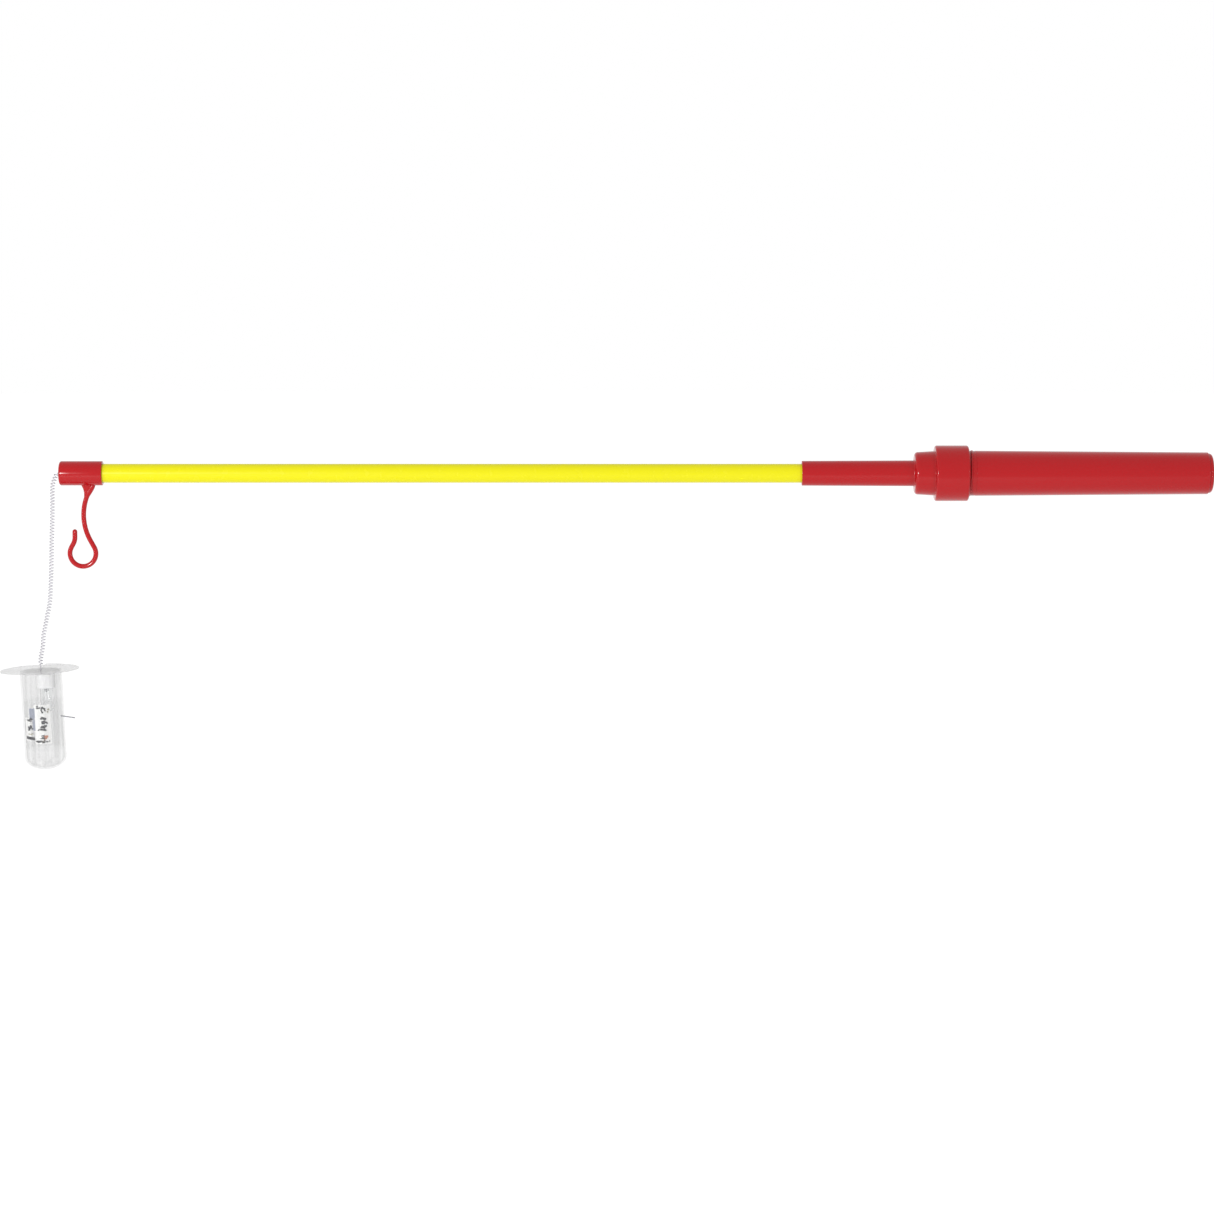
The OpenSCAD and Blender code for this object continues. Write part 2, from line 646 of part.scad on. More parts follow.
grip_tube();
grip_end_cap();
spring_plate();
battery_spring();
contact_strip();
front_cell_can();
front_cell_core();
front_cell_terminal();
front_cell_sleeve();
rear_cell_can();
rear_cell_core();
rear_cell_terminal();
rear_cell_sleeve();
handle_head();
contact_carrier();
centre_contact();
ring_contact();
positive_lead();
negative_lead();
rod_tube();
tip_cap();
cord_gland();
cord_root();
curly_cord();
cord_knot();
slit_disc();
bulb_holder();
socket_shell();
socket_leads();
contact_button();
contact_spring();
bulb_shell();
bulb_insulator();
bulb_tip();
bulb_glass();
bulb_bead();
filament_posts();
filament();
lamp_cover();
label_liner();
lock_pin();
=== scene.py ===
"""Looks of an electric lantern stick: a glossy red battery grip and head, a yellow rod, a red tip
cap with a hook, and a small clear lamp that hangs on a curly lead.

Lengths below are in millimetres and go through MM into metres. The stick lies along X. The lamp
has a frame of its own, tilted a little about Y, whose Z runs up its axis."""

import math
import random

import bmesh
import bpy
from mathutils import Matrix, Vector


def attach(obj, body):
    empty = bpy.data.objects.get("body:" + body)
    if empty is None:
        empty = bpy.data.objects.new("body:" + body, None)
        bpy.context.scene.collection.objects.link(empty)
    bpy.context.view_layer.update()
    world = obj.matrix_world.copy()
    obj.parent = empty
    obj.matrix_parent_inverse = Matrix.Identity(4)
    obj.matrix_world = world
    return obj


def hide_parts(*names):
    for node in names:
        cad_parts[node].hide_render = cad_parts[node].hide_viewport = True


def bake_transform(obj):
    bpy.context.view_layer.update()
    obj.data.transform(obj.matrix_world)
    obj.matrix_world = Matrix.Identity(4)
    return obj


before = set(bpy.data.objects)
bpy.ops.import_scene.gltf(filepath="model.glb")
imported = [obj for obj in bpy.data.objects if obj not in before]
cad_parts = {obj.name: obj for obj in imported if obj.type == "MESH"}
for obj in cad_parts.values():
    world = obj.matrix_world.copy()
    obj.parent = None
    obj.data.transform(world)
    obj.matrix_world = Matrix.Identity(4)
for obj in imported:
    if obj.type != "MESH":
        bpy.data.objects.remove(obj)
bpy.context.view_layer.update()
MM = 0.001

# Stations along the stick, as in the CAD
CAP_FRONT = -449.0
CAP_REAR = -430.3
SLEEVE_FRONT = -126.7
BOWL_FRONT = -77.8
COLLAR_FRONT = -69.0
COLLAR_REAR = -54.4
SHOULDER = -51.4
NECK_FRONT = -64.0
TUBE_END = 49.6
GRIP_END = 51.4

STICK = Matrix.Rotation(math.radians(90), 4, "Y")
LAMP_TILT = 2.3
LAMP_ORIGIN = Vector((-458.9, 0, -86.0)) * MM
LAMP = Matrix.Translation(LAMP_ORIGIN) @ Matrix.Rotation(math.radians(-LAMP_TILT), 4, "Y")
BULB_DX = 2.0
BULB = LAMP @ Matrix.Translation((BULB_DX * MM, 0, 0))

# ---- camera --------------------------------------------------------------------------------

VIEW_CENTRE = Vector((-211.25, 0, -58.5)) * MM
VIEW_DISTANCE = 1.526
VIEW_ELEVATION = math.radians(6.8)
LENS = 103.7
SENSOR = 36.0


def make_camera():
    data = bpy.data.cameras.new("camera")
    data.sensor_width = SENSOR
    data.lens = LENS
    data.clip_start = 0.05
    data.clip_end = 50
    camera = bpy.data.objects.new("camera", data)
    bpy.context.scene.collection.objects.link(camera)
    away = Vector((0, -math.cos(VIEW_ELEVATION), math.sin(VIEW_ELEVATION)))
    camera.location = VIEW_CENTRE + away * VIEW_DISTANCE
    camera.rotation_euler = (-away).to_track_quat("-Z", "Y").to_euler()
    bpy.context.scene.camera = camera


make_camera()

# ---- mesh helpers --------------------------------------------------------------------------


def make_object(name, verts, faces, sharp=35):
    """A smooth-shaded mesh object, its normals outward, with edges over `sharp` degrees kept."""
    mesh = bpy.data.meshes.new(name)
    mesh.from_pydata([tuple(v) for v in verts], [], faces)
    work = bmesh.new()
    work.from_mesh(mesh)
    bmesh.ops.recalc_face_normals(work, faces=work.faces)
    work.to_mesh(mesh)
    work.free()
    mesh.shade_smooth()
    mesh.set_sharp_from_angle(angle=math.radians(sharp))
    obj = bpy.data.objects.new(name, mesh)
    bpy.context.scene.collection.objects.link(obj)
    return obj


def join(name, shells, sharp=35):
    """One object from several (verts, faces) shells."""
    verts, faces = [], []
    for shell_verts, shell_faces in shells:
        start = len(verts)
        verts += list(shell_verts)
        faces += [tuple(start + i for i in f) for f in shell_faces]
    return make_object(name, verts, faces, sharp)


def turned(outline, place=STICK, segments=128):
    """A closed solid of revolution about the place's Z axis, from (radius, along) points in mm.
    An outline that starts and ends on the axis is closed by its poles, any other by a last face."""
    poles = outline[0][0] == 0 and outline[-1][0] == 0
    verts, rings = [], []
    for radius, along in outline:
        if radius == 0:
            rings.append([len(verts)])
            verts.append(place @ Vector((0, 0, along * MM)))
            continue
        rings.append(list(range(len(verts), len(verts) + segments)))
        for k in range(segments):
            a = 2 * math.pi * k / segments
            x, y = radius * math.cos(a) * MM, radius * math.sin(a) * MM
            verts.append(place @ Vector((x, y, along * MM)))
    faces = []
    pairs = list(zip(rings, rings[1:])) + ([] if poles else [(rings[-1], rings[0])])
    for one, two in pairs:
        if len(one) == 1 and len(two) == 1:
            continue
        for k in range(segments):
            m = (k + 1) % segments
            if len(one) == 1:
                faces.append((one[0], two[k], two[m]))
            elif len(two) == 1:
                faces.append((one[k], two[0], one[m]))
            else:
                faces.append((one[k], two[k], two[m], one[m]))
    return verts, faces


def arc(radius, along, r, a0, a1, n=8):
    """Points of a rounded corner about (radius, along)."""
    return [
        (radius + r * math.cos(math.radians(a0 + (a1 - a0) * i / n)),
         along + r * math.sin(math.radians(a0 + (a1 - a0) * i / n)))
        for i in range(n + 1)
    ]


END_RINGS = 4


def wire(points, radius, sides=12, place=Matrix.Identity(4)):
    """A closed round wire along points in mm, with rounded ends."""
    points = [Vector(p) for p in points]
    last = len(points) - 1
    rings = []
    across = None
    for i, p in enumerate(points):
        way = (points[min(i + 1, last)] - points[max(i - 1, 0)]).normalized()
        if across is None:
            across = way.cross(Vector((0, 1, 0)))
        across = (across - way * across.dot(way)).normalized()
        rings.append((p, across.copy(), across.cross(way), radius, way))
    bends = [math.pi / 2 * k / (END_RINGS + 0.5) for k in range(1, END_RINGS + 1)]
    p, u, v, _, way = rings[0]
    head = [(p - way * radius * math.sin(t), u, v, radius * math.cos(t), way)
            for t in reversed(bends)]
    p, u, v, _, way = rings[-1]
    tail = [(p + way * radius * math.sin(t), u, v, radius * math.cos(t), way) for t in bends]
    rings = head + rings + tail
    verts = []
    for p, u, v, r, _ in rings:
        for k in range(sides):
            t = 2 * math.pi * k / sides
            verts.append(place @ ((p + u * (r * math.cos(t)) + v * (r * math.sin(t))) * MM))
    faces = [tuple(range(sides))[::-1]]
    for i in range(len(rings) - 1):
        for k in range(sides):
            m = (k + 1) % sides
            faces.append((i * sides + k, i * sides + m, (i + 1) * sides + m, (i + 1) * sides + k))
    faces.append(tuple((len(rings) - 1) * sides + k for k in range(sides)))
    return verts, faces


def smooth_step(t):
    """0 up to t = 0, 1 from t = 1, and a smooth rise between."""
    t = min(max(t, 0.0), 1.0)
    return t * t * (3 - 2 * t)


# ---- materials -----------------------------------------------------------------------------


class Nodes:
    """A material's node tree, with short calls for the nodes used here."""

    def __init__(self, name):
        self.material = bpy.data.materials.new(name)
        self.material.use_nodes = True
        self.tree = self.material.node_tree
        self.shader = self.tree.nodes["Principled BSDF"]
        self.output = self.tree.nodes["Material Output"]
        self.place = self.new("ShaderNodeTexCoord").outputs["Object"]

    def new(self, kind, **settings):
        node = self.tree.nodes.new(kind)
        for key, value in settings.items():
            setattr(node, key, value)
        return node

    def link(self, a, b):
        self.tree.links.new(a, b)

    def stretch(self, scale):
        node = self.new("ShaderNodeMapping")
        node.inputs["Scale"].default_value = scale
        self.link(self.place, node.inputs["Vector"])
        return node.outputs["Vector"]

    def noise(self, scale, detail=3.0, vector=None, roughness=0.5):
        node = self.new("ShaderNodeTexNoise")
        node.inputs["Scale"].default_value = scale
        node.inputs["Detail"].default_value = detail
        node.inputs["Roughness"].default_value = roughness
        self.link(vector or self.place, node.inputs["Vector"])
        return node.outputs["Fac"]

    def spread(self, value, low, high, out_low, out_high):
        node = self.new("ShaderNodeMapRange")
        keys = ("From Min", "From Max", "To Min", "To Max")
        for key, v in zip(keys, (low, high, out_low, out_high)):
            node.inputs[key].default_value = v
        self.link(value, node.inputs["Value"])
        return node.outputs["Result"]

    def blend(self, factor, one, two):
        node = self.new("ShaderNodeMix", data_type="RGBA")
        self.link(factor, node.inputs["Factor"])
        node.inputs["A"].default_value = (*one, 1)
        node.inputs["B"].default_value = (*two, 1)
        return node.outputs["Result"]

    def bump(self, height, strength, distance):
        node = self.new("ShaderNodeBump")
        node.inputs["Strength"].default_value = strength
        node.inputs["Distance"].default_value = distance
        self.link(height, node.inputs["Height"])
        self.link(node.outputs["Normal"], self.shader.inputs["Normal"])

    def set(self, **values):
        for key, value in values.items():
            self.shader.inputs[key.replace("_", " ")].default_value = value


def plastic(name, light, dark, roughness=(0.11, 0.15), specular=0.28):
    """Glossy moulded plastic: a faint drift of colour, an uneven gloss and a soft surface wave."""
    m = Nodes(name)
    m.link(m.blend(m.noise(18, 2), dark, light), m.shader.inputs["Base Color"])
    m.link(m.spread(m.noise(240, 4), 0.3, 0.7, *roughness), m.shader.inputs["Roughness"])
    m.bump(m.noise(25, 2), 0.05, 0.0002)
    m.set(Specular_IOR_Level=specular)
    return m.material


def refractive(name, tint, rough, wave, ior):
    """Clear glass that light goes through and is bent by, with a faint wave round its axis."""
    m = Nodes(name)
    m.link(m.blend(m.noise(120, 2), [c * 0.97 for c in tint], tint), m.shader.inputs["Base Color"])
    gloss = m.spread(m.noise(400, 3), 0.3, 0.7, rough * 0.7, rough * 1.3)
    m.link(gloss, m.shader.inputs["Roughness"])
    m.bump(m.noise(300, 2, m.stretch((1, 1, 3))), wave, 0.0002)
    m.set(Transmission_Weight=1.0, IOR=ior, Specular_IOR_Level=0.5)
    return m.material


def thin_clear(name, tint, cover, rough=0.15, detail=90, edge=1.0, painted_reflection_streaks=0.0):
    """Thin clear plastic: it covers a little of what is behind it, more at its turned edges,
    and less along faint upright streaks, painted reflections that show as bright bands."""
    m = Nodes(name)
    grain = m.noise(detail, 3)
    m.link(m.blend(grain, [c * 0.92 for c in tint], tint), m.shader.inputs["Base Color"])
    gloss = m.spread(m.noise(300, 3), 0.3, 0.7, rough * 0.8, rough * 1.3)
    m.link(gloss, m.shader.inputs["Roughness"])
    facing = m.new("ShaderNodeLayerWeight")
    facing.inputs["Blend"].default_value = 0.35
    turned_away = m.spread(facing.outputs["Facing"], 0.3, 1.0, cover, cover * edge)
    if painted_reflection_streaks:
        # Painted reflection: upright streaks where less is covered let the white behind through, as
        # bright bands that tall lamps would mirror.
        lines = m.noise(420, 3, m.stretch((1, 1, 0.02)))
        share = m.spread(lines, 0.4, 0.62, 1.0 + painted_reflection_streaks * 0.35, 1.0 - painted_reflection_streaks)
    else:
        share = m.spread(grain, 0.3, 0.7, 0.9, 1.1)
    product = m.new("ShaderNodeMath", operation="MULTIPLY")
    m.link(turned_away, product.inputs[0])
    m.link(share, product.inputs[1])
    m.link(product.outputs[0], m.shader.inputs["Alpha"])
    m.bump(m.noise(220, 2), 0.1, 0.0002)
    m.set(Specular_IOR_Level=0.5)
    return m.material


def metal(name, colour, rough=0.25, glow=0.0):
    """Plated metal with fine drawn lines. A little glow stands in for light that very fine wires
    inside the glass would catch."""
    m = Nodes(name)
    lines = m.noise(1.0, 4, m.stretch((40, 40, 900)))
    m.link(m.blend(lines, [c * 0.82 for c in colour], colour), m.shader.inputs["Base Color"])
    m.link(m.spread(lines, 0.3, 0.7, rough * 0.8, rough * 1.3), m.shader.inputs["Roughness"])
    m.bump(lines, 0.1, 0.0001)
    m.set(Metallic=1.0, Emission_Color=(0.85, 0.86, 0.88, 1), Emission_Strength=glow)
    return m.material


def dull(name, light, dark, rough=(0.5, 0.7), scale=300):
    """A matt surface with a fine grain of colour and height."""
    m = Nodes(name)
    grain = m.noise(scale, 4)
    m.link(m.blend(grain, dark, light), m.shader.inputs["Base Color"])
    m.link(m.spread(grain, 0.3, 0.7, *rough), m.shader.inputs["Roughness"])
    m.bump(grain, 0.2, 0.0002)
    return m.material


RED = plastic("red_moulding", (0.292, 0.001, 0.0035), (0.278, 0.001, 0.003))
YELLOW = plastic("yellow_tube", (0.52, 0.485, 0.001), (0.505, 0.47, 0.001), (0.2, 0.3), 0.2)
# A ray may cross eight clear layers before it goes black. The vial and its film use them all where
# they overlap, so the bulb's glass is refractive and the holder inside is opaque.
# The vial's upright bright streaks are painted reflections of tall lamps.
CLEAR = thin_clear("clear_moulding", (0.26, 0.26, 0.262), 0.14, 0.08, 60, edge=1.9, painted_reflection_streaks=0.5)
HOLDER = plastic("clear_holder", (0.75, 0.75, 0.755), (0.67, 0.67, 0.675), (0.2, 0.3))
DISC = thin_clear("clear_disc", (0.45, 0.45, 0.455), 0.38, edge=1.3)
SHEATH = thin_clear("lead_sheath", (0.42, 0.41, 0.45), 0.72, 0.2, 900)
FILM = thin_clear("film", (0.32, 0.32, 0.33), 0.02, 0.1)
GLASS = refractive("bulb_glass", (0.97, 0.975, 0.975), rough=0.02, wave=0.02, ior=1.25)
STEEL = metal("steel", (0.62, 0.63, 0.65))
PIN_STEEL = metal("pin_steel", (0.20, 0.20, 0.22), rough=0.3)
TINNED = metal("tinned", (0.86, 0.865, 0.87), rough=0.35)
FINE_WIRE = metal("fine_wire", (0.86, 0.865, 0.87), rough=0.35, glow=0.4)
BRASS = metal("brass", (0.72, 0.52, 0.22))
MILKY = dull("milky_moulding", (0.85, 0.85, 0.83), (0.80, 0.80, 0.78))
BLACK = dull("black_moulding", (0.02, 0.02, 0.022), (0.014, 0.014, 0.016))
WRAP = plastic("cell_wrap", (0.03, 0.16, 0.10), (0.02, 0.13, 0.08))
POWDER = dull("cell_filling", (0.03, 0.03, 0.032), (0.018, 0.018, 0.02))
RED_LEAD = dull("red_insulation", (0.40, 0.01, 0.01), (0.34, 0.01, 0.01), (0.4, 0.5))
BLACK_LEAD = dull("black_insulation", (0.02, 0.02, 0.02), (0.015, 0.015, 0.015), (0.4, 0.5))
BEAD = thin_clear("bulb_bead", (0.40, 0.43, 0.45), 0.35, 0.05)
INK_WHITE = dull("ink_white", (0.80, 0.80, 0.79), (0.66, 0.66, 0.65), (0.35, 0.5), 1500)
INK_SLATE = dull("ink_slate", (0.27, 0.285, 0.35), (0.17, 0.19, 0.235), (0.3, 0.45), 900)
INK_MOSS = dull("ink_moss", (0.26, 0.24, 0.17), (0.16, 0.15, 0.09), (0.3, 0.45), 2500)
INK = dull("ink", (0.012, 0.013, 0.022), (0.006, 0.006, 0.008), (0.3, 0.45), 2500)
INK_ORANGE = dull("ink_orange", (0.45, 0.17, 0.08), (0.36, 0.11, 0.05), (0.3, 0.45), 2500)


def finish_piece(obj, material, body, nodes=()):
    """Give a piece its material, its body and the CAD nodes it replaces."""
    obj.data.materials.append(material)
    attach(obj, body)
    if nodes:
        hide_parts(*nodes)
    return obj


# ---- curly lead ----------------------------------------------------------------------------

# The lead's route, X from the cap's front face and Z, as in the CAD
ROUTE = [
    (0, 0), (-1.2, -0.5), (-1.9, -1.5), (-2.4, -2.8), (-3.1, -4.8), (-3.3, -7.7),
    (-3.4, -14), (-3.6, -21), (-4, -30), (-4.3, -39), (-4.7, -48), (-5, -53),
    (-5.6, -58), (-6.7, -63), (-7.7, -68), (-8.4, -71.3), (-8.8, -76.4),
    (-9.7, -80.8), (-9.9, -85),
]
COIL_PITCH = 1.33
COIL_R = 0.87
WIRE_R = 0.2
COIL_STEPS = 16
DRAWN_IN_TOP = 1.6
DRAWN_IN_FOOT = 2.0


CURVE_STEPS = 60


def route_points(step=0.05):
    """The route as a smooth curve, with points an equal step apart."""
    ctrl = [Vector((CAP_FRONT + x, 0, z)) for x, z in ROUTE]
    ctrl = [ctrl[0] * 2 - ctrl[1]] + ctrl + [ctrl[-1] * 2 - ctrl[-2]]
    fine = []
    for a, b, c, d in zip(ctrl, ctrl[1:], ctrl[2:], ctrl[3:]):
        for k in range(CURVE_STEPS):
            t = k / CURVE_STEPS
            fine.append(0.5 * (2 * b + (c - a) * t + (2 * a - 5 * b + 4 * c - d) * t * t
                               + (3 * b - a - 3 * c + d) * t ** 3))
    fine.append(ctrl[-2])
    even, travelled, target = [fine[0]], 0.0, step
    for one, two in zip(fine, fine[1:]):
        length = (two - one).length
        while length > 0 and travelled + length >= target:
            even.append(one.lerp(two, (target - travelled) / length))
            target += step
        travelled += length
    return even, travelled


def helix_path():
    """The wire's centre line: a helix round the route, drawn in to its middle at both ends."""
    route, length = route_points()
    step = length / (len(route) - 1)
    count = int(length / COIL_PITCH * COIL_STEPS)
    points = []
    for i in range(count + 1):
        s = length * i / count
        k = min(int(s / step), len(route) - 2)
        p = route[k].lerp(route[k + 1], min(s / step - k, 1.0))
        way = (route[min(k + 4, len(route) - 1)] - route[max(k - 3, 0)]).normalized()
        side = Vector((0, 1, 0))
        out = way.cross(side)
        r = COIL_R * smooth_step(s / DRAWN_IN_TOP) * smooth_step((length - s) / DRAWN_IN_FOOT)
        a = 2 * math.pi * s / COIL_PITCH
        points.append(p + out * (r * math.cos(a)) + side * (r * math.sin(a)))
    return points


path = helix_path()
lead = make_object("curly_lead", *wire(path, WIRE_R, 8))
lead.data.materials.append(SHEATH)
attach(lead, "cord")
lead.parent = None
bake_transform(lead)
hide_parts("curly_cord")


def knot_points():
    """A small overhand knot under the disc, with its stub up through the disc's hole."""
    stub = [(0, 0, 1.0 - 0.2 * k) for k in range(8)]
    loops = []
    for k in range(41):
        t = 2 * math.pi * k / 40
        loops.append((0.2 * (math.sin(t) + 1.6 * math.sin(2 * t)),
                      0.2 * (math.cos(t) - 1.6 * math.cos(2 * t)) + 0.12,
                      -1.32 - 0.26 * math.sin(3 * t)))
    return stub, loops


stub, loops = knot_points()
knot = join("lead_knot", [wire(stub, 0.22, 10, LAMP), wire(loops, 0.24, 10, LAMP)])
finish_piece(knot, SHEATH, "knot", ["cord_knot"])

# ---- red mouldings -------------------------------------------------------------------------

SLEEVE_FRONT_R = 5.4
SLEEVE_REAR_R = 5.6
BOWL_FRONT_R = 9.25
BOWL_REAR_R = 9.65
COLLAR_R = 12.1
COLLAR_BORE_R = 10.3
ROD_R = 4.125
ROD_SOCKET_R = 4.175
GRIP_FRONT_R = 9.8
GRIP_REAR_R = 9.1
CELL_BORE_R = 7.55
NECK_R = 9.55
THREAD_R = 10.05
THREAD_SUNK = 0.08
PITCH = 2.4
CARRIER_BORE_R = 7.75
ROD_BORE_R = 3.1
HEAD_WALL = 1.5
ROD_STOP = BOWL_FRONT - 6.6


def thread(root, crest, start, end, width):
    """A helical ridge between two stations along the stick, fading out at both ends."""
    steps_a_turn = 64
    fade = 24
    count = int(abs(end - start) / PITCH * steps_a_turn)
    foot = root - THREAD_SUNK
    verts, faces = [], []
    for i in range(count + 1):
        x = start + (end - start) * i / count
        a = 2 * math.pi * i / steps_a_turn
        rise = min(smooth_step(i / fade), smooth_step((count - i) / fade))
        top = root + (crest - root) * rise
        for r, dx in ((foot, -width), (root, -width), (top, -width * 0.45),
                      (top, width * 0.45), (root, width), (foot, width)):
            verts.append(Vector((x + dx, -r * math.cos(a), r * math.sin(a))) * MM)
    n = 6
    faces.append(tuple(range(n)))
    for i in range(count):
        for k in range(n):
            m = (k + 1) % n
            faces.append((i * n + k, i * n + m, (i + 1) * n + m, (i + 1) * n + k))
    faces.append(tuple(count * n + k for k in range(n))[::-1])
    return verts, faces


def head_outline():
    """Down the outside from the rod's end to the collar's mouth, then back along the bores."""
    carrier_seat = COLLAR_FRONT + HEAD_WALL
    bowl_floor = BOWL_FRONT + HEAD_WALL
    return (
        [(ROD_SOCKET_R, SLEEVE_FRONT + 0.25), (ROD_SOCKET_R + 0.2, SLEEVE_FRONT)]
        + arc(SLEEVE_FRONT_R - 0.25, SLEEVE_FRONT + 0.25, 0.25, -90, 0)
        + arc(SLEEVE_REAR_R + 0.6, BOWL_FRONT - 0.6, 0.6, 180, 90)
        + arc(BOWL_FRONT_R - 1.5, BOWL_FRONT + 1.5, 1.5, -90, 0, 14)
        + arc(BOWL_REAR_R + 0.35, COLLAR_FRONT - 0.35, 0.35, 180, 90, 6)
        + arc(COLLAR_R - 0.9, COLLAR_FRONT + 0.9, 0.9, -90, 0, 12)
        + [(COLLAR_R, COLLAR_FRONT + 7)]
        + arc(COLLAR_R - 0.9, COLLAR_REAR - 0.9, 0.9, 0, 90, 12)
        + arc(COLLAR_BORE_R + 0.3, COLLAR_REAR - 0.3, 0.3, 90, 180, 4)
        + [(COLLAR_BORE_R, carrier_seat), (CARRIER_BORE_R, carrier_seat),
           (CARRIER_BORE_R, bowl_floor), (ROD_BORE_R, bowl_floor),
           (ROD_BORE_R, ROD_STOP), (ROD_SOCKET_R, ROD_STOP)]
    )


head = join("head_moulding", [turned(head_outline(), segments=160)])
finish_piece(head, RED, "stick", ["handle_head"])


def grip_outline():
    """Down the outside from the neck's front to the grip's end, closed by the cells' bore."""
    return (
        [(CELL_BORE_R, NECK_FRONT), (NECK_R - 0.35, NECK_FRONT), (NECK_R, NECK_FRONT + 0.35),
         (NECK_R, SHOULDER - 4.9), (NECK_R + 0.2, SHOULDER - 4.6), (NECK_R + 0.2, SHOULDER),
         (GRIP_FRONT_R - 0.15, SHOULDER)]
        + arc(GRIP_FRONT_R - 0.15, SHOULDER + 0.15, 0.15, -90, 0, 5)
        + [(GRIP_REAR_R + 0.01, TUBE_END - 0.35)]
        + arc(GRIP_REAR_R - 0.3, TUBE_END - 0.3, 0.3, 0, 90, 5)
        + [(CELL_BORE_R, TUBE_END)]
    )


grip = join("grip_moulding", [
    turned(grip_outline(), segments=160),
    thread(NECK_R, THREAD_R, NECK_FRONT + 0.8, SHOULDER - 0.3, 0.7),
])
finish_piece(grip, RED, "handle", ["grip_tube"])

END_CAP_R = 8.6
end_cap = join("grip_end_plug", [turned(
    [(0, TUBE_END - 5), (7.2, TUBE_END - 5), (7.5, TUBE_END - 4.7), (7.5, TUBE_END),
     (END_CAP_R - 0.1, TUBE_END), (END_CAP_R, TUBE_END + 0.1)]
    + arc(END_CAP_R - 1.3, GRIP_END - 1.3, 1.3, 0, 90, 14)
    + [(0, GRIP_END)])])
finish_piece(end_cap, RED, "handle", ["grip_end_cap"])

# ---- tip cap and hook ----------------------------------------------------------------------

CAP_R = 5.3
HOOK_R = 1.075
FALL = (-415.8, -18.4, 23.1)
LOOP = (-439.5, -35.0, 5.65)
TIP_TURN = 29.0
TIP_R = 6.0
TIP_RUN = 1.7
TIP_RISE = 2.4
WEB_X = -436.7
WEB_HALF = 3.1
WEB_TOP = -4.4
WEB_BROW = -5.2
WEB_LOW = -13.5
WEB_EDGE = 0.95


def hook_path():
    """Points of the hook from inside the cap to its tip: an arc that falls, a straight, the loop,
    a short straight and a last arc that turns the tip upright."""
    fall_x, fall_z, fall_r = FALL
    loop_x, loop_z, loop_r = LOOP
    dx, dz = loop_x - fall_x, loop_z - fall_z
    reach = math.degrees(math.acos((fall_r + loop_r) / math.hypot(dx, dz)))
    leave = math.degrees(math.atan2(dz, dx)) % 360 - 180 - reach

    def on(x, z, r, a):
        return (x + r * math.cos(math.radians(a)), 0, z + r * math.sin(math.radians(a)))

    points = [on(fall_x, fall_z, fall_r, a) for a in spaced(143, 180 + leave, 2.5)]
    foot = on(loop_x, loop_z, loop_r, leave)
    points += [tuple(a + (b - a) * t for a, b in zip(points[-1], foot))
               for t in (0.2, 0.4, 0.6, 0.8)]
    points += [on(loop_x, loop_z, loop_r, a) for a in spaced(leave, -180 - TIP_TURN, 6)]
    turn = math.radians(TIP_TURN)
    x, _, z = points[-1]
    x, z = x + TIP_RUN * math.sin(turn), z + TIP_RUN * math.cos(turn)
    centre_x, centre_z = x - TIP_R * math.cos(turn), z + TIP_R * math.sin(turn)
    points += [on(centre_x, centre_z, TIP_R, a) for a in spaced(-TIP_TURN, 0, 5)]
    top_x, top_z = centre_x + TIP_R, centre_z
    points += [(top_x, 0, top_z + TIP_RISE * t) for t in (0.33, 0.66, 1.0)]
    return points


def spaced(a, b, step):
    """Numbers from a to b, about a step apart."""
    count = max(2, round(abs(b - a) / step))
    return [a + (b - a) * i / count for i in range(count + 1)]


def web_shell():
    """The web that spreads the hook's root along the cap: a plate with hollow sides and rounded
    edges, level by level from inside the cap down into the hook's rod."""
    fall_x, fall_z, fall_r = FALL
    levels, sides = 22, 20
    verts, faces = [], []
    for i in range(levels + 1):
        z = WEB_TOP + (WEB_LOW - WEB_TOP) * i / levels
        t = min(max((WEB_BROW - z) / (WEB_BROW - WEB_LOW), 0.0), 1.0)
        rod_x = fall_x - math.sqrt(fall_r ** 2 - (z - fall_z) ** 2)
        hollow = (1 - t) ** 2
        fuller = (1 - t) ** 1.35
        left = (rod_x - 0.7) * (1 - fuller) + (WEB_X - WEB_HALF) * fuller
        right = (rod_x + 0.7) * (1 - hollow) + (WEB_X + WEB_HALF) * hollow
        for k in range(sides):
            a = 2 * math.pi * k / sides
            c, d = math.cos(a), math.sin(a)
            x = (left + right) / 2 + (right - left) / 2 * abs(c) ** 0.6 * (1 if c > 0 else -1)
            verts.append(Vector((x, WEB_EDGE * abs(d) ** 0.8 * (1 if d > 0 else -1), z)) * MM)
    for i in range(levels):
        for k in range(sides):
            m = (k + 1) % sides
            faces.append((i * sides + k, i * sides + m, (i + 1) * sides + m, (i + 1) * sides + k))
    faces.append(tuple(range(sides)))
    faces.append(tuple(levels * sides + k for k in range(sides))[::-1])
    return verts, faces


CAP_HOLE_R = 1.9
CAP_BORE_R = 3.05
CAP_WALL = 1.7
CAP_SOCKET = 5.2

cap_outline = (
    [(CAP_HOLE_R, CAP_FRONT + 0.2), (CAP_HOLE_R + 0.2, CAP_FRONT)]
    + arc(CAP_R - 0.9, CAP_FRONT + 0.9, 0.9, -90, 0)
    + [(CAP_R, CAP_FRONT + 9)]
    + arc(CAP_R - 0.3, CAP_REAR - 0.3, 0.3, 0, 90, 5)
    + [(ROD_SOCKET_R + 0.15, CAP_REAR), (ROD_SOCKET_R, CAP_REAR - 0.15),
       (ROD_SOCKET_R, CAP_FRONT + CAP_SOCKET), (CAP_BORE_R, CAP_FRONT + CAP_SOCKET),
       (CAP_BORE_R, CAP_FRONT + CAP_WALL), (CAP_HOLE_R, CAP_FRONT + CAP_WALL)]
)
tip = join("tip_moulding", [
    turned(cap_outline, segments=128),
    web_shell(),
    wire(hook_path(), HOOK_R, 24),
])
finish_piece(tip, RED, "stick", ["tip_cap"])

